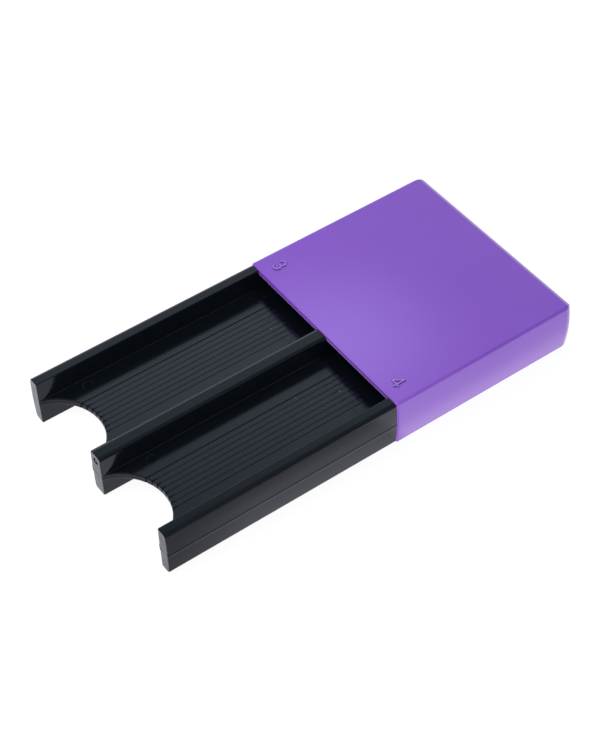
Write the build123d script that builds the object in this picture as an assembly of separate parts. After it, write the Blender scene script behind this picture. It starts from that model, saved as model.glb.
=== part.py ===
from build123d import *
from math import cos, radians, sin, sqrt
import os

# A two-piece guard for four woodwind reeds: a black moulded tray with two reed
# channels above its web and two below, and a purple cover, a box open at one
# end, that slides over the tray's stepped-down rear half.
# Axes: +X runs from the tray's open front end to the cover's closed end, +Y to
# the left, +Z up. The origin is at the middle of the length and width, on the
# plane that the cover's flat underside rests on. All lengths are millimetres.

# Whole guard
overall_length = 83.8
rim_gap = 0.15
fit_clearance = 0.12
side_bulge = 0.3
cut_overrun = 1.0

# Cover
cover_length = 38.55
cover_width = 41.8
cover_height = 9.7
cover_rear_bulge = 0.25
cover_side_wall = 1.25
cover_top_wall = 1.2
cover_end_wall = 1.5
cover_edge_round = 0.55
cover_rim_round = 0.4
cover_rim_break = 0.1
cover_rear_round = 1.8
cover_rear_top_round = 1.3
cavity_corner_round = 0.6

# Numerals of the four channels, two raised on the cover's top and two sunk below
digit_height = 2.3
digit_stroke = 0.48
digit_relief = 0.22
digit_flank_angle = 34
left_digit_from_rim = 3.58
left_digit_from_middle = 17.37
right_digit_from_rim = 3.2
right_digit_from_middle = 17.0

# Tray walls
tray_side_inset = 0.2
tray_face_inset = 0.1
side_wall_top = 2.1
middle_wall_inset = 0.2
middle_wall_top = 2.92
wall_draft = 0.06
wall_outer_round = 0.75
side_wall_inner_round = 0.15
middle_wall_round = 0.6
wall_foot_round = 0.12
wall_end_round = 0.18
parting_step = 0.06
tray_lead_in = 0.4

# Web between the channels, its grooves and its thumb notches
web_thickness = 1.2
groove_count = 8
groove_pitch = 1.124
groove_width = 0.16
groove_depth = 0.07
deep_groove_width = 0.28
deep_groove_depth = 0.12
notch_radius = 8.95
notch_depth = 6.4
notch_edge_round = 0.2
nick_radius = 0.3
nick_length = 1.3

# Marks left by the mould
ejector_radius = 0.9
ejector_depth = 0.06
ejector_from_front = 8.6
ejector_from_channel_middle = 6.85
gate_radius = 0.65
gate_depth = 0.4
gate_stub_radius = 0.26
gate_stub_height = 0.34
gate_below_wall_top = 1.55

# Places that follow from the sizes above
x_front = -overall_length / 2
x_rear = overall_length / 2
x_rim = x_rear - cover_length
x_shoulder = x_rim - rim_gap
x_cavity_end = x_rear - cover_end_wall
x_tray_rear = x_cavity_end - fit_clearance
z_middle = cover_height / 2
z_cover_top = cover_height

tray_half_width = cover_width / 2 - tray_side_inset
tray_half_height = cover_height / 2 - tray_face_inset
middle_wall_half_height = tray_half_height - middle_wall_inset
web_half = web_thickness / 2
channel_inner_top = middle_wall_top / 2
channel_outer_top = tray_half_width - side_wall_top
channel_inner_foot = channel_inner_top + wall_draft
channel_outer_foot = channel_outer_top - wall_draft
channel_middle = (channel_inner_foot + channel_outer_foot) / 2
channel_foot_half = (channel_outer_foot - channel_inner_foot) / 2
notch_centre_x = x_front + notch_depth - notch_radius


def convex_box(half_width, half_height, bulge):
    """The Y-Z outline of a box whose two sides swell outward by bulge at mid height."""
    middle = half_width + bulge
    top = Line((-half_width, half_height), (half_width, half_height))
    right = ThreePointArc((half_width, half_height), (middle, 0), (half_width, -half_height))
    bottom = Line((half_width, -half_height), (-half_width, -half_height))
    left = ThreePointArc((-half_width, -half_height), (-middle, 0), (-half_width, half_height))
    return make_face([top, right, bottom, left])


def along_x(profile, start, end):
    """A Y-Z profile, drawn about the guard's mid height, run from one X to another."""
    return extrude(Plane.YZ.offset(start) * profile, amount=end - start)


# Tray: each half, above and below the parting plane, is three drafted walls on
# half of the web. The halves are drawn with z = 0 on the parting plane.
def round_front_end(wall):
    """Rounds the edges of a half wall's front end, but not the one on the parting plane."""
    def on_front(edge):
        box = edge.bounding_box()
        flat_on_parting = box.max.Z < wall_end_round / 2
        return box.max.X < x_front + wall_end_round / 2 and not flat_on_parting

    return fillet(wall.edges().filter_by(on_front), wall_end_round)


def middle_half_wall():
    h = middle_wall_half_height
    outline = make_face(Polyline(
        (-channel_inner_foot, 0), (channel_inner_foot, 0),
        (channel_inner_top, h), (-channel_inner_top, h), close=True,
    ))
    outline = fillet(outline.vertices().group_by(Axis.Y)[-1], middle_wall_round)
    return round_front_end(along_x(outline, x_front, x_tray_rear))


def side_half_wall():
    """The half wall on the +Y side, with its swelling outer face."""
    h = tray_half_height
    outer_middle = tray_half_width + side_bulge
    foot = Line((channel_outer_foot, 0), (outer_middle, 0))
    outer = TangentArc((outer_middle, 0), (tray_half_width, h), tangent=(0, h))
    top = Line((tray_half_width, h), (channel_outer_top, h))
    inner = Line((channel_outer_top, h), (channel_outer_foot, 0))
    outline = make_face([foot, outer, top, inner])
    inner_edge, outer_edge = outline.vertices().group_by(Axis.Y)[-1].sort_by(Axis.X)
    outline = fillet(outer_edge, wall_outer_round)
    inner_edge = outline.vertices().sort_by_distance(inner_edge)[0]
    outline = fillet(inner_edge, side_wall_inner_round)
    return round_front_end(along_x(outline, x_front, x_tray_rear))


def half_web():
    """Half of the web on the +Y side, with a small round where each wall stands on it."""
    r = wall_foot_round
    sag = r - r * cos(radians(45))
    low, high = web_half, web_half + r
    inner = channel_inner_foot - wall_draft * high / middle_wall_half_height
    outer = channel_outer_foot + wall_draft * high / tray_half_height
    inner_round = ThreePointArc((inner, high), (inner + sag, low + sag), (inner + r, low))
    floor = Line((inner + r, low), (outer - r, low))
    outer_round = ThreePointArc((outer - r, low), (outer - sag, low + sag), (outer, high))
    in_walls = Polyline(
        (outer, high), (outer + wall_draft, high), (outer + wall_draft, 0),
        (inner - wall_draft, 0), (inner - wall_draft, high), (inner, high),
    )
    profile = make_face([inner_round, floor, outer_round, *in_walls.edges()])
    return along_x(profile, x_front, x_tray_rear)


def thumb_notch():
    """The cutter for one half of a thumb notch, flared to round the notch's edge."""
    r = notch_edge_round
    z_flat = web_half - r
    edge = ThreePointArc(
        (notch_radius, z_flat),
        (notch_radius + r - r * cos(radians(45)), z_flat + r * sin(radians(45))),
        (notch_radius + r, web_half),
    )
    z_high = web_half + cut_overrun
    rest = Polyline(
        (notch_radius + r, web_half), (notch_radius + r, z_high),
        (0, z_high), (0, -cut_overrun), (notch_radius, -cut_overrun), (notch_radius, z_flat),
    )
    profile = make_face([*edge.edges(), *rest.edges()])
    cutter = revolve(Plane.XZ * profile, Axis.Z)
    cutter = Pos(notch_centre_x, channel_middle, 0) * cutter
    reach = notch_radius + cut_overrun
    strip = Pos(notch_centre_x, channel_middle, 0) * Box(2 * reach, 2 * channel_foot_half, 2 * reach)
    return cutter & strip


def groove(y, width, depth):
    """The cutter for a V groove in a channel's floor."""
    vee = make_face(Polyline(
        (y - width, web_half + depth), (y, web_half - depth), (y + width, web_half + depth), close=True,
    ))
    return along_x(vee, x_front, x_tray_rear)


def channel_grooves(side):
    """Cutters for a channel's fine grooves and for the nicks where they meet the thumb notch."""
    cutters = []
    for i in range(groove_count):
        from_middle = (i - (groove_count - 1) / 2) * groove_pitch
        y = side * channel_middle + from_middle
        if i == groove_count - 1:
            cutters.append(groove(y, deep_groove_width, deep_groove_depth))
        else:
            cutters.append(groove(y, groove_width, groove_depth))
        start = notch_centre_x + sqrt(notch_radius ** 2 - from_middle ** 2) - nick_radius
        nick = Rot(0, 90, 0) * Cone(nick_radius, 0, nick_length)
        cutters.append(Pos(start + nick_length / 2, y, web_half) * nick)
    return cutters


def half_tray():
    """One moulded half, with z = 0 on the parting plane."""
    web = half_web() - thumb_notch()
    half = middle_half_wall()
    for part in (web, side_half_wall()):
        half += part
        half += mirror(part, Plane.XZ)
    return half - (channel_grooves(1) + channel_grooves(-1))


def ejector_marks():
    """Shallow round dents that the ejector pins leave in the upper floors."""
    ball_radius = (ejector_radius ** 2 + ejector_depth ** 2) / (2 * ejector_depth)
    lowest = Pos(0, 0, -ball_radius) * Cylinder(ejector_radius, 4 * ejector_depth)
    dent = Sphere(ball_radius) & lowest
    z = z_middle + web_half - ejector_depth + ball_radius
    marks = []
    for side in (1, -1):
        for place in (1, -1):
            y = side * channel_middle + place * ejector_from_channel_middle
            marks.append(Pos(x_front + ejector_from_front, y, z) * dent)
    return marks


def gate_mark():
    """The round recess, with a stub in it, where the plastic entered the middle wall's end."""
    z = z_middle + middle_wall_half_height - gate_below_wall_top
    turned = Rot(0, 90, 0)
    recess = Pos(x_front, 0, z) * turned * Cylinder(gate_radius, 2 * gate_depth)
    stub_x = x_front + gate_depth - gate_stub_height / 2
    stub = Pos(stub_x, 0, z) * turned * Cylinder(gate_stub_radius, gate_stub_height)
    return recess - stub


def cavity_profile(clearance):
    """The cover's inside in section, less a clearance all round."""
    outline = convex_box(
        cover_width / 2 - cover_side_wall - clearance,
        cover_height / 2 - cover_top_wall - clearance,
        side_bulge,
    )
    return fillet(outline.vertices(), cavity_corner_round)


def rear_limit():
    """The space that the tray's rear half may fill: the cover's inside less the clearance."""
    inside = along_x(cavity_profile(fit_clearance), x_shoulder - cut_overrun, x_tray_rear)
    inside = chamfer(inside.edges().group_by(Axis.X)[-1], tray_lead_in)
    front = Box(
        x_shoulder - x_front + cut_overrun,
        2 * (tray_half_width + side_bulge + cut_overrun),
        2 * (tray_half_height + cut_overrun),
        align=(Align.MAX, Align.CENTER, Align.CENTER),
    )
    return inside + Pos(x_shoulder, 0, 0) * front


def make_tray():
    upper = half_tray()
    lower = Pos(0, -parting_step, 0) * mirror(upper, Plane.XY)
    tray = (upper + lower) & rear_limit()
    tray = Pos(0, 0, z_middle) * tray
    tray -= ejector_marks()
    return tray - gate_mark()


# Numerals: strokes of one width with round ends, in a plane whose x runs to the
# reader's right and y up the numeral. A stroke with two points is straight, and
# one with three is an arc through them. The points are shares of the height.
numeral_shares = {
    1: [((0.04, -0.5), (0.04, 0.5)), ((0.04, 0.5), (-0.18, 0.32))],
    2: [
        ((-0.26, 0.3), (0.12, 0.47), (0.21, 0.06)),
        ((0.21, 0.06), (-0.27, -0.5)),
        ((-0.27, -0.5), (0.29, -0.5)),
    ],
    3: [
        ((-0.26, 0.3), (0.2, 0.4), (0.1, 0.02)),
        ((0.1, 0.02), (0.27, -0.34), (-0.25, -0.38)),
        ((0.1, 0.02), (-0.05, 0.03)),
    ],
    4: [
        ((0.13, -0.5), (0.13, 0.5)),
        ((0.13, 0.5), (-0.37, -0.24)),
        ((-0.37, -0.24), (0.33, -0.24)),
    ],
}


def numeral_strokes(number):
    strokes = []
    for stroke_shares in numeral_shares[number]:
        points = [tuple(share * digit_height for share in point) for point in stroke_shares]
        line = ThreePointArc(*points) if len(points) == 3 else Line(*points)
        strokes.append(SlotArc(line.edge(), digit_stroke))
    return strokes


def numeral(number, plane, height):
    """The strokes of a numeral, standing height off the plane with sloping flanks."""
    parts = [
        extrude(plane * stroke, amount=height, taper=digit_flank_angle)
        for stroke in numeral_strokes(number)
    ]
    solid = parts[0]
    for part in parts[1:]:
        solid += part
    return solid


def numeral_plane(side, upward):
    """The plane of a numeral on the cover's top, or of one sunk in its underside."""
    if side > 0:
        x, y = x_rim + left_digit_from_rim, left_digit_from_middle
    else:
        x, y = x_rim + right_digit_from_rim, -right_digit_from_middle
    if upward:
        return Plane((x, y, z_cover_top), x_dir=(0, -1, 0), z_dir=(0, 0, 1))
    return Plane((x, y, 0), x_dir=(0, 1, 0), z_dir=(0, 0, -1))


def sunk_numeral(number, side):
    """The cutter for a numeral in the underside, widest at the face and narrow inside."""
    outside = numeral_plane(side, upward=False)
    inward = Plane(outside.origin, x_dir=outside.x_dir, z_dir=-outside.z_dir)
    return [
        extrude(inward * mirror(stroke, Plane.XZ), amount=digit_relief, taper=digit_flank_angle)
        for stroke in numeral_strokes(number)
    ]


# Cover: a box open at the rim, with swelling sides that match the tray's.
def cover_side_view():
    """The cover's X-Z outline, with its edges still sharp. The closed end swells at mid height."""
    h = cover_height / 2
    x_edge = x_rear - cover_rear_bulge
    front = Polyline((x_edge, h), (x_rim, h), (x_rim, -h), (x_edge, -h))
    rear = ThreePointArc((x_edge, -h), (x_rear, 0), (x_edge, h))
    return make_face([*front.edges(), rear])


def is_rear_upright(edge):
    """True for the two tall edges at the closed end."""
    box = edge.bounding_box()
    return box.size.Z > cover_height / 2 and box.min.X > x_rim + cover_length / 2


def leaves_rim(edge):
    return edge.bounding_box().max.X > x_rim + cover_rim_round


def cover_outside():
    """The block that the cover is cut from. Its closed end has the largest rounds."""
    half_width = cover_width / 2 + side_bulge
    view = cover_side_view()
    body = along_x(convex_box(cover_width / 2, cover_height / 2, side_bulge), x_rim, x_rear)
    body &= extrude(Plane.XZ * view, amount=half_width, both=True)
    body = fillet(body.edges().filter_by(is_rear_upright), cover_rear_round)
    by_height = body.edges().group_by(Axis.Z)
    body = fillet((by_height[0] + by_height[-1]).filter_by(leaves_rim), cover_edge_round)
    rear_rounded = fillet(view.vertices().group_by(Axis.X)[-1], cover_rear_top_round)
    body &= extrude(Plane.XZ * rear_rounded, amount=half_width, both=True)
    return fillet(body.edges().group_by(Axis.X)[0], cover_rim_round)


def is_inner_rim(edge):
    """True for the edges of the rim's end face that border the cavity."""
    middle = edge.position_at(0.5)
    wide = cover_width / 2 + side_bulge - cover_side_wall / 2
    high = cover_height / 2 - cover_top_wall / 2
    return abs(middle.Y) < wide and abs(middle.Z) < high


def make_cover():
    cavity = along_x(cavity_profile(0), x_rim - cut_overrun, x_cavity_end)
    cover = cover_outside() - cavity
    cover = chamfer(cover.edges().group_by(Axis.X)[0].filter_by(is_inner_rim), cover_rim_break)
    cover = Pos(0, 0, z_middle) * cover
    cover += numeral(3, numeral_plane(1, upward=True), digit_relief)
    cover += numeral(4, numeral_plane(-1, upward=True), digit_relief)
    for number, side in ((1, -1), (2, 1)):
        cover -= sunk_numeral(number, side)
    return cover


os.makedirs("parts", exist_ok=True)
export_step(make_tray(), "parts/tray.step")
export_step(make_cover(), "parts/cover.step")
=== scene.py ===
import math

import bpy
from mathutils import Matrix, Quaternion, Vector

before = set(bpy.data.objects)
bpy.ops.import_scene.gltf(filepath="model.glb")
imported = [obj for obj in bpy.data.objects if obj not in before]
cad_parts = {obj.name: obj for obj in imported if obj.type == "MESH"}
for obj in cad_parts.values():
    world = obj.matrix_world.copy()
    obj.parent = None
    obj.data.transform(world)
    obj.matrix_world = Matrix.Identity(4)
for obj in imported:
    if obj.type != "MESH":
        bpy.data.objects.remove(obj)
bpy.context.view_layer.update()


# The tray: one black moulding with two reed channels above its web and two
# below. It is hard, glossy plastic, scuffed along its length where reeds slide,
# with dull ends where the mould's gate and parting face were. Painted light makes
# those ends light grey, lighter towards the left.
class Wire:
    """An output in a material's node tree. Sums and products of wires add Math nodes."""

    def __init__(self, tree, socket=None):
        self.tree = tree
        self.socket = socket

    def node(self, kind, inputs=None, settings=None, output=0):
        """Adds a node, sets it up, then fills its inputs with values or wires."""
        made = self.tree.nodes.new("ShaderNode" + kind)
        for name, value in (settings or {}).items():
            setattr(made, name, value)
        for name, value in (inputs or {}).items():
            if isinstance(value, Wire):
                self.tree.links.new(value.socket, made.inputs[name])
            else:
                made.inputs[name].default_value = value
        return Wire(self.tree, made.outputs[output] if made.outputs else None)

    def maths(self, operation, *others):
        """A Math node on this wire and on others, which are wires or numbers."""
        return self.node("Math", dict(enumerate((self, *others))), {"operation": operation})

    def __add__(self, other):
        return self.maths("ADD", other)

    __radd__ = __add__

    def __mul__(self, other):
        return self.maths("MULTIPLY", other)

    __rmul__ = __mul__

    def __sub__(self, other):
        return self.maths("SUBTRACT", other)

    def __rsub__(self, other):
        return self * -1.0 + other

    def above(self, edge, soft):
        """Rises from 0 to 1 as this wire passes edge, over the width soft."""
        return self.node("MapRange", {
            "Value": self, "From Min": edge - soft / 2, "From Max": edge + soft / 2,
        }, {"interpolation_type": "SMOOTHSTEP"})

    def below(self, edge, soft):
        """Falls from 1 to 0 as this wire passes edge, over the width soft."""
        return 1.0 - self.above(edge, soft)

    def within(self, low, high, soft):
        """1 where this wire lies between low and high, and 0 elsewhere."""
        return self.above(low, soft) * self.below(high, soft)

    def size(self):
        """This number without its sign."""
        return self.maths("ABSOLUTE")

    def root(self):
        return self.maths("SQRT")

    def axis(self, number):
        """One component of this vector wire, where 0 is X, 1 is Y and 2 is Z."""
        return self.node("SeparateXYZ", {0: self}, output=number)

    def stretched(self, scale):
        """A vector wire scaled by a share for each axis."""
        return self.node("VectorMath", {0: self, 1: scale}, {"operation": "MULTIPLY"})

    def noise(self, scale, detail=2.0, roughness=0.5):
        """Plain noise on this vector wire, from 0 to 1."""
        return self.node("TexNoise", {
            "Vector": self, "Scale": scale, "Detail": detail, "Roughness": roughness,
        })

    def mixed(self, colour_a, colour_b):
        """Colour a where this wire is 0, colour b where it is 1."""
        # A Mix node's sockets for colours share their names with others, so they go by number.
        inputs = {0: self, 6: colour_a, 7: colour_b}
        return self.node("Mix", inputs, {"data_type": "RGBA"}, output=2)

    def blended(self, shader_a, shader_b):
        """Shader a where this wire is 0, shader b where it is 1."""
        return self.node("MixShader", {0: self, 1: shader_a, 2: shader_b})


def new_finish(name):
    """A material with an empty node tree, and a first wire on it."""
    finish = bpy.data.materials.new(name)
    finish.use_nodes = True
    finish.node_tree.nodes.clear()
    return finish, Wire(finish.node_tree)


mm_per_metre = 1000.0


def place_in_mm(start):
    """The place on the guard in millimetres, from the origin on its underside."""
    place = start.node("TexCoord", output="Object")
    return place.stretched((mm_per_metre, mm_per_metre, mm_per_metre))


def distance(offset_a, offset_b):
    """How far a place is from a middle, when its two offsets are square to each other."""
    return (offset_a * offset_a + offset_b * offset_b).root()


def layered(colour, layers):
    """The colour under layers, each with a mask, how strongly it shows, and its tint."""
    for mask, strength, tint in layers:
        colour = (mask * strength).mixed(colour, tint)
    return colour


def put_on(node_name, finish):
    """Gives the node's object the finish in every material slot."""
    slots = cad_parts[node_name].material_slots
    for slot in slots:
        slot.material = finish


# How far a face is turned one way, as an edge on its normal and its softness.
turned = (0.8, 0.2)
turned_squarely = (0.92, 0.1)

# Places in millimetres. A band is from, to and softness, and an edge is where
# and softness.
floor_band = (4.0, 5.7, 0.1)
floor_foot_band = (5.47, 5.62, 0.02)
floor_foot_edge = (10.0, 2.0)
side_edge = (20.3, 0.2)
end_edge = (-41.6, 0.1)
channel_middle = 10.03

ejector_x = -33.3
ejector_apart = 13.7
ejector_edge = (0.9, 0.15)
ejector_rim_band = (0.84, 1.0, 0.08)

notch_centre_x = -44.45
notch_radius = 8.95
groove_pitch = 1.124
groove_half_share = (0.13, 0.08)
grooves_half_width = (4.3, 0.1)
groove_nick_shade_band = (-0.3, 0.85, 0.3)

wall_edge_highlight_height = (9.15, 0.1)
wall_edge_highlight_band = (0.78, 0.89, 0.05)
seam_highlight_band = (4.35, 4.75, 0.15)
parting_band = (4.66, 4.92, 0.1)
middle_wall_edge_band = (-1.7, -1.3, 0.12)
left_wall_edge_band = (18.3, 18.72, 0.12)
right_wall_edge = (-20.8, 0.12)
end_shade_edge = (0.0, 40.0)

dust_edge = (-10.0, 8.0)
wave_band = (-0.5, 4.5, 4.0)

# Patterns: how often each repeats in a millimetre along X, Y and Z or all ways,
# and the edges that pick its marks out.
streak_scale = (0.05, 2.2, 2.2)
scratch_scale = (0.03, 7.0, 7.0)
scratch_edge = (0.66, 0.1)
swirl_scale = (0.0, 2.4, 0.35)
swirl_edge = (0.5, 0.35)
cloud_scale = 0.08
speck_scale = 0.6
speck_edge = (0.09, 0.04)
dust_patch_scale = 0.25
dust_patch_edge = (0.53, 0.06)
mottle_scale = 0.9
broken_edge = (0.5, 0.1)

deep_black = (0.0018, 0.0031, 0.0050, 1.0)
pale_black = (0.0030, 0.0044, 0.0063, 1.0)
scratch_grey = (0.012, 0.014, 0.017, 1.0)
ejector_grey = (0.035, 0.042, 0.045, 1.0)
dust_grey = (0.10, 0.11, 0.12, 1.0)
# A painted highlight along the middle wall's top edge.
wall_edge_highlight_grey = (0.046, 0.053, 0.062, 1.0)
# A painted highlight along the parting seam on the outer sides.
seam_highlight_grey = (0.05, 0.055, 0.06, 1.0)
# A dark grey for the parting joint line and for painted shade.
joint_and_shade_grey = (0.01, 0.01, 0.012, 1.0)
# Painted light on the end faces: brighter and duller greys, each lighter on the left.
bright_end_right = (0.148, 0.148, 0.155, 1.0)
bright_end_left = (0.235, 0.243, 0.262, 1.0)
dull_end_right = (0.088, 0.088, 0.094, 1.0)
dull_end_left = (0.150, 0.157, 0.175, 1.0)

gloss_roughness = 0.10
coat_weight = 0.6
coat_roughness = 0.14
parting_strength = 0.45
end_border_shade_strength = 0.6
bump_depth = 0.00002
tray_bump_strength = 0.25
scratch_height = 0.3
wave_height = 18.0


def tray_finish():
    finish, start = new_finish("tray_plastic")
    place = place_in_mm(start)
    x, y, z = (place.axis(number) for number in range(3))
    normal = start.node("TexCoord", output="Normal")
    level = normal.axis(2).size().above(*turned)
    floor = level * z.within(*floor_band)
    outside = normal.axis(1).size().above(*turned) * y.size().above(*side_edge)
    end = (0.0 - normal.axis(0)).above(*turned_squarely) * x.below(*end_edge)

    streaks = place.stretched(streak_scale).noise(1.0, detail=4.0, roughness=0.6)
    clouds = place.noise(cloud_scale)
    scratches = place.stretched(scratch_scale).noise(1.0).above(*scratch_edge)
    cells = start.node("TexVoronoi", {"Vector": place, "Scale": speck_scale})
    patches = place.noise(dust_patch_scale, detail=1.0).above(*dust_patch_edge)
    dust = cells.below(*speck_edge) * patches * floor * x.above(*dust_edge)
    waves = place.noise(mottle_scale) * x.within(*wave_band) * floor

    from_channel = y.size() - channel_middle
    from_pin = distance(x - ejector_x, from_channel.size() - ejector_apart / 2)
    pin = from_pin.below(*ejector_edge) * floor
    broken = place.noise(mottle_scale, detail=1.0).above(*broken_edge)
    pin_rim = from_pin.within(*ejector_rim_band) * floor * broken

    from_notch = distance(x - notch_centre_x, from_channel) - notch_radius
    from_groove = (from_channel * (1.0 / groove_pitch)).maths("FRACT") - 0.5
    on_groove = from_groove.size().below(*groove_half_share)
    grooved = from_channel.size().below(*grooves_half_width)
    # Painted shade: dark marks where the grooves meet the notch's edge.
    groove_nick_shade = from_notch.within(*groove_nick_shade_band) * on_groove * grooved * z.within(*floor_band)

    # Painted highlight: a light grey line along the middle wall's top edge, on its left side.
    wall_edge_highlight = z.above(*wall_edge_highlight_height) * y.within(*wall_edge_highlight_band)
    # Painted highlight: a lighter line along the parting seam on the outer sides.
    seam_highlight = outside * z.within(*seam_highlight_band)
    black = layered(streaks.mixed(deep_black, pale_black), [
        (scratches, 0.25, scratch_grey),
        (pin_rim, 0.25, ejector_grey),
        (dust, 0.6, dust_grey),
        (wall_edge_highlight, 1.0, wall_edge_highlight_grey),
        (seam_highlight, 0.35, seam_highlight_grey),
    ])

    # Painted light: the end faces are light grey, lighter towards the left, in swirled brighter
    # and duller patches.
    to_left = y.above(*end_shade_edge)
    swirls = place.stretched(swirl_scale).noise(1.0, detail=3.0, roughness=0.65)
    lit_end_grey = swirls.above(*swirl_edge).mixed(
        to_left.mixed(dull_end_right, dull_end_left),
        to_left.mixed(bright_end_right, bright_end_left),
    )
    colour = end.mixed(black, lit_end_grey)

    # Dark lines on the end faces: one at the mould's parting joint, and painted shade along
    # their borders with the walls' sides. The painted shade at the groove ends joins them.
    parting = z.within(*parting_band)
    end_border_shade = y.within(*middle_wall_edge_band) + y.within(*left_wall_edge_band)
    end_border_shade = end_border_shade + y.below(*right_wall_edge)
    joint_line_and_shade = end * (parting * parting_strength + end_border_shade * end_border_shade_strength) + groove_nick_shade

    foot = z.within(*floor_foot_band) * y.above(*floor_foot_edge)
    dulled = [
        (streaks, 0.05), (clouds, 0.04), (floor, 0.04), (outside, 0.10), (end, 0.3), (foot, 0.6),
    ]
    rough = sum((mask * roughness for mask, roughness in dulled), gloss_roughness)
    bump = start.node("Bump", {
        "Strength": tray_bump_strength, "Distance": bump_depth,
        "Height": streaks + scratches * scratch_height + waves * wave_height,
    })
    skin = start.node("BsdfPrincipled", {
        "Base Color": colour, "Roughness": rough, "Normal": bump,
        "Coat Weight": floor * (1.0 - pin) * coat_weight, "Coat Roughness": coat_roughness,
    })
    dark = start.node("BsdfDiffuse", {"Color": joint_and_shade_grey})
    start.node("OutputMaterial", {"Surface": joint_line_and_shade.blended(skin, dark)})
    return finish


put_on("tray", tray_finish())


# The cover: one purple moulding, a flat box open at its rim. It is the same hard
# plastic with a satin surface, and raised numerals stand on its top.
purple_deep = (0.186, 0.064, 0.438, 1.0)
purple_full = (0.200, 0.072, 0.462, 1.0)
mottle_purple = (0.210, 0.078, 0.475, 1.0)
# A paler purple for painted light near the rim.
lit_patch_purple = (0.250, 0.118, 0.530, 1.0)
numeral_shade = (0.05, 0.012, 0.16, 1.0)
numeral_highlight = (0.36, 0.22, 0.66, 1.0)
rim_shade = (0.07, 0.02, 0.20, 1.0)
rim_highlight = (0.40, 0.20, 0.76, 1.0)
rear_edge_highlight = (0.45, 0.30, 0.76, 1.0)

lit_patch_x = 4.0
lit_patch_y = -4.0
lit_patch_edge = (13.5, 25.0)
numeral_flank_band = (9.71, 9.89, 0.02)
numeral_top_edge = (9.9, 0.02)
rim_x_edge = (4.0, 0.2)
rim_shade_band = (9.1, 9.4, 0.15)
rim_highlight_edge = (9.05, 0.15)

purple_cloud_scale = 0.12
grain_scale = 5.0
turned_right = (0.0, 0.6)
flank_turned_up = (0.3, 0.1)
rear_edge_turned_back = (0.3, 0.5, 0.1)
rear_edge_turned_up = (0.5, 0.1)

flank_strength = 0.25
flank_strength_to_right = 0.45
satin_roughness = 0.24
grain_roughness = 0.04
cover_bump_strength = 0.05
plastic_ior = 1.57


def cover_finish():
    finish, start = new_finish("cover_plastic")
    place = place_in_mm(start)
    along, across, height = (place.axis(number) for number in range(3))
    clouds = place.noise(purple_cloud_scale)
    mottle = place.noise(mottle_scale, detail=3.0, roughness=0.6)
    grain = place.noise(grain_scale, detail=3.0, roughness=0.6)
    # Painted light: the cover is paler in a broad round patch near the middle of its rim.
    lit_patch = distance(along - lit_patch_x, across - lit_patch_y).below(*lit_patch_edge)

    normal = start.node("TexCoord", output="Normal")
    back, left, up = (normal.axis(number) for number in range(3))
    to_right = (0.0 - left).above(*turned_right)
    flank = height.within(*numeral_flank_band) * up.above(*flank_turned_up)
    rim_face = (0.0 - back).above(*turned) * along.below(*rim_x_edge)
    rear_edge = back.within(*rear_edge_turned_back) * up.above(*rear_edge_turned_up)
    purple = layered(clouds.mixed(purple_deep, purple_full), [
        (mottle, 0.2, mottle_purple),
        (lit_patch, 1.0, lit_patch_purple),
        (flank, to_right * flank_strength_to_right + flank_strength, numeral_shade),
        # Painted highlight on the numerals' tops.
        (height.above(*numeral_top_edge), 0.7, numeral_highlight),
        # On the rim's front face, a band of painted shade near its top, with a painted highlight
        # below it.
        (rim_face * height.within(*rim_shade_band), 0.55, rim_shade),
        (rim_face * height.below(*rim_highlight_edge), 0.5, rim_highlight),
        # Painted highlight on the rounded rear top edge.
        (rear_edge, 0.8, rear_edge_highlight),
    ])

    bump = start.node("Bump", {
        "Strength": cover_bump_strength, "Distance": bump_depth, "Height": grain,
    })
    skin = start.node("BsdfPrincipled", {
        "Base Color": purple, "Roughness": satin_roughness + grain * grain_roughness,
        "IOR": plastic_ior, "Normal": bump,
    })
    start.node("OutputMaterial", {"Surface": skin})
    return finish


put_on("cover", cover_finish())


# The table: a white photographer's light table that runs out of sight. To the
# camera it is almost a plain white and keeps a faint shadow of the guard. In
# the guard's gloss it is greyer, and shaded where the guard keeps light off it.
table_half_size = 3.0
table_grey = (0.12, 0.12, 0.12, 1.0)
table_glow = 0.93
table_shine = 1.15
mirrored_table = (0.70, 0.71, 0.80, 1.0)
mirrored_shade = (0.41, 0.41, 0.46, 1.0)
mirrored_far = (1.05, 1.08, 1.20, 1.0)
mirrored_close = (1.62, 1.52, 1.52, 1.0)

# Edges of the shade that the guard's gloss shows, in millimetres.
beside_edge = (-20.0, 1.5)
beside_front_edge = (-31.0, 18.0)
beside_far_edge = (-27.7, 1.6)
under_edge = (-5.0, 3.0)
under_front_edge = (-25.0, 10.0)
cover_start_edge = (5.0, 3.0)
cover_close_edge = (-23.7, 4.0)
under_strength = 0.5
far_strength = 0.9


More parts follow.
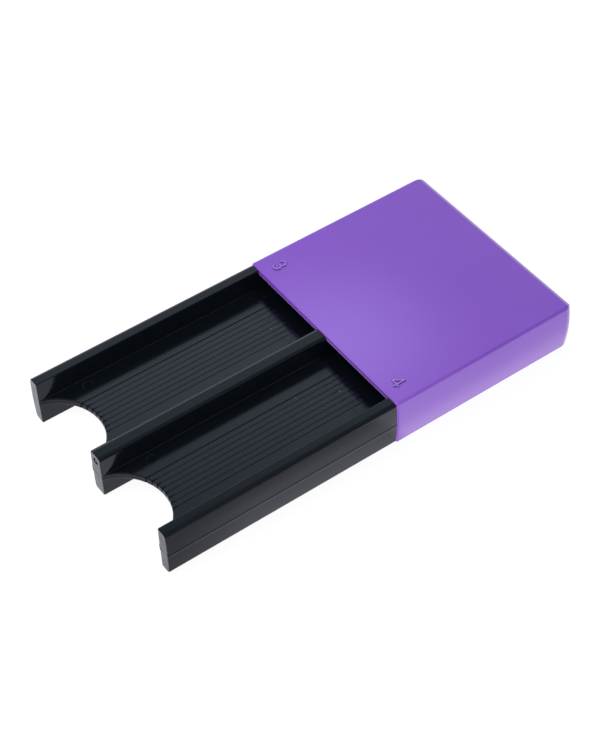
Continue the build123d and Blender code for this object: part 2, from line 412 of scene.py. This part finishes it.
def table_finish():
    finish, start = new_finish("table_white")
    seen = start.node("LightPath", output="Is Camera Ray")
    mirrored = start.node("LightPath", output="Is Glossy Ray")
    faint = start.node("BsdfDiffuse", {"Color": table_grey})
    glow = start.node("Emission", {"Strength": table_glow})
    shown = start.node("AddShader", {0: faint, 1: glow})
    shine = start.node("Emission", {"Strength": table_shine})

    spot = place_in_mm(start)
    along, across = spot.axis(0), spot.axis(1)
    beside = across.below(*beside_edge)
    by_cover = along.above(*cover_start_edge)
    shaded = beside * along.below(*beside_front_edge)
    under = across.above(*under_edge) * along.below(*under_front_edge) * under_strength
    far = beside * across.below(*beside_far_edge) * (1.0 - by_cover) * far_strength
    mirror = (shaded + under + far).mixed(mirrored_table, mirrored_shade)
    # Painted reflection: beside the cover, the table in the gloss is brighter, most of all close
    # to the cover's side.
    by_cover_mirror = across.above(*cover_close_edge).mixed(mirrored_far, mirrored_close)
    mirror = (beside * by_cover).mixed(mirror, by_cover_mirror)

    plain = start.node("Emission", {"Color": mirror})
    hidden = mirrored.blended(shine, plain)
    start.node("OutputMaterial", {"Surface": seen.blended(hidden, shown)})
    return finish


def make_table():
    corners = [(-1, -1), (1, -1), (1, 1), (-1, 1)]
    points = [(x * table_half_size, y * table_half_size, 0) for x, y in corners]
    mesh = bpy.data.meshes.new("table")
    mesh.from_pydata(points, [], [(0, 1, 2, 3)])
    mesh.materials.append(table_finish())
    table = bpy.data.objects.new("table", mesh)
    bpy.context.scene.collection.objects.link(table)


make_table()


# The light: a key lamp behind the guard, low fills on its right and left, a top
# lamp, and a dim tent that brightens low down at the back. To the camera the
# tent is white.
tent_blue = (0.70, 0.83, 1.0, 1.0)
tent_white = (0.95, 0.97, 1.0, 1.0)
camera_white = (1.0, 1.0, 1.0, 1.0)

# Edges and bands on the tent are shares of its radius.
back_edge = (0.25, 0.5)
overhead_edge = (0.42, 0.35)
middle_top_edge = (0.76, 0.08)
middle_side_edge = (-0.2, 0.5)
low_top_edge = (0.5, 0.3)
low_side_edge = (-0.1, 0.5)
strip_band = (0.2, 0.44, 0.08)
strip_back_edge = (0.76, 0.14)
strip_side_edge = (0.1, 0.2)
blue_edge = (0.45, 0.5)
tent_glow = 0.09
overhead_glow = 0.17
back_glow = 0.5
strip_glow = 0.5

lamps = {
    "back_lamp": {"place": (-0.05, 0.83, 0.55), "size": 0.25, "power": 5.5},
    "right_fill": {"place": (-0.25, -0.9, 0.3), "size": 0.6, "power": 6.0},
    "top_lamp": {"place": (-0.15, -0.1, 1.0), "size": 0.6, "power": 1.0},
    "left_fill": {"place": (-0.12, 0.02, 0.13), "size": 0.06, "power": 0.17},
}


def make_tent():
    world = bpy.data.worlds.new("tent")
    bpy.context.scene.world = world
    world.use_nodes = True
    world.node_tree.nodes.clear()
    start = Wire(world.node_tree)
    seen = start.node("LightPath", output="Is Camera Ray")
    direction = start.node("TexCoord", output="Generated")
    along, across, height = (direction.axis(number) for number in range(3))
    back = across.above(*back_edge)
    overhead = height.above(*overhead_edge)
    middle = height.below(*middle_top_edge) * along.above(*middle_side_edge)
    low = height.below(*low_top_edge) * along.above(*low_side_edge)
    strip = height.within(*strip_band) * across.above(*strip_back_edge)
    strip = strip * along.above(*strip_side_edge)
    glow = tent_glow + overhead * overhead_glow + back * (middle + low) * back_glow
    glow = glow + strip * strip_glow
    tint = height.above(*blue_edge).mixed(tent_white, tent_blue)
    lit = start.node("Background", {"Color": tint.stretched(glow)})
    white = start.node("Background", {"Color": camera_white})
    start.node("OutputWorld", {"Surface": seen.blended(lit, white)})


def make_lamp(name, place, size, power):
    """A square lamp that faces the guard and lights it, but isn't mirrored in its gloss."""
    light = bpy.data.lights.new(name, "AREA")
    light.shape = "SQUARE"
    light.size = size
    light.energy = power
    lamp = bpy.data.objects.new(name, light)
    lamp.location = place
    lamp.rotation_mode = "QUATERNION"
    lamp.rotation_quaternion = Vector(place).to_track_quat("Z", "Y")
    lamp.visible_glossy = False
    bpy.context.scene.collection.objects.link(lamp)


make_tent()
for lamp_name, lamp_sizes in lamps.items():
    make_lamp(lamp_name, **lamp_sizes)


# The camera: a long lens above the guard's right front corner, as the photograph
# was taken.
view_azimuth = math.radians(325.321)
view_elevation = math.radians(47.612)
view_roll = math.radians(-1.621)
view_distance = 0.30651
view_aim = Vector((-0.003041, -0.0024, 0.005))
sensor_long_side = 36.0
lens_length = 86.671
nearest_seen = 0.01


def make_camera():
    data = bpy.data.cameras.new("camera")
    data.sensor_width = sensor_long_side
    data.lens = lens_length
    data.clip_start = nearest_seen
    camera = bpy.data.objects.new("camera", data)
    back = Vector((
        math.sin(view_azimuth) * math.cos(view_elevation),
        -math.cos(view_azimuth) * math.cos(view_elevation),
        math.sin(view_elevation),
    ))
    roll = Quaternion((0, 0, 1), view_roll)
    camera.location = view_aim + back * view_distance
    camera.rotation_mode = "QUATERNION"
    camera.rotation_quaternion = (-back).to_track_quat("-Z", "Y") @ roll
    bpy.context.scene.collection.objects.link(camera)
    bpy.context.scene.camera = camera


make_camera()
bpy.context.scene.view_settings.view_transform = "Standard"
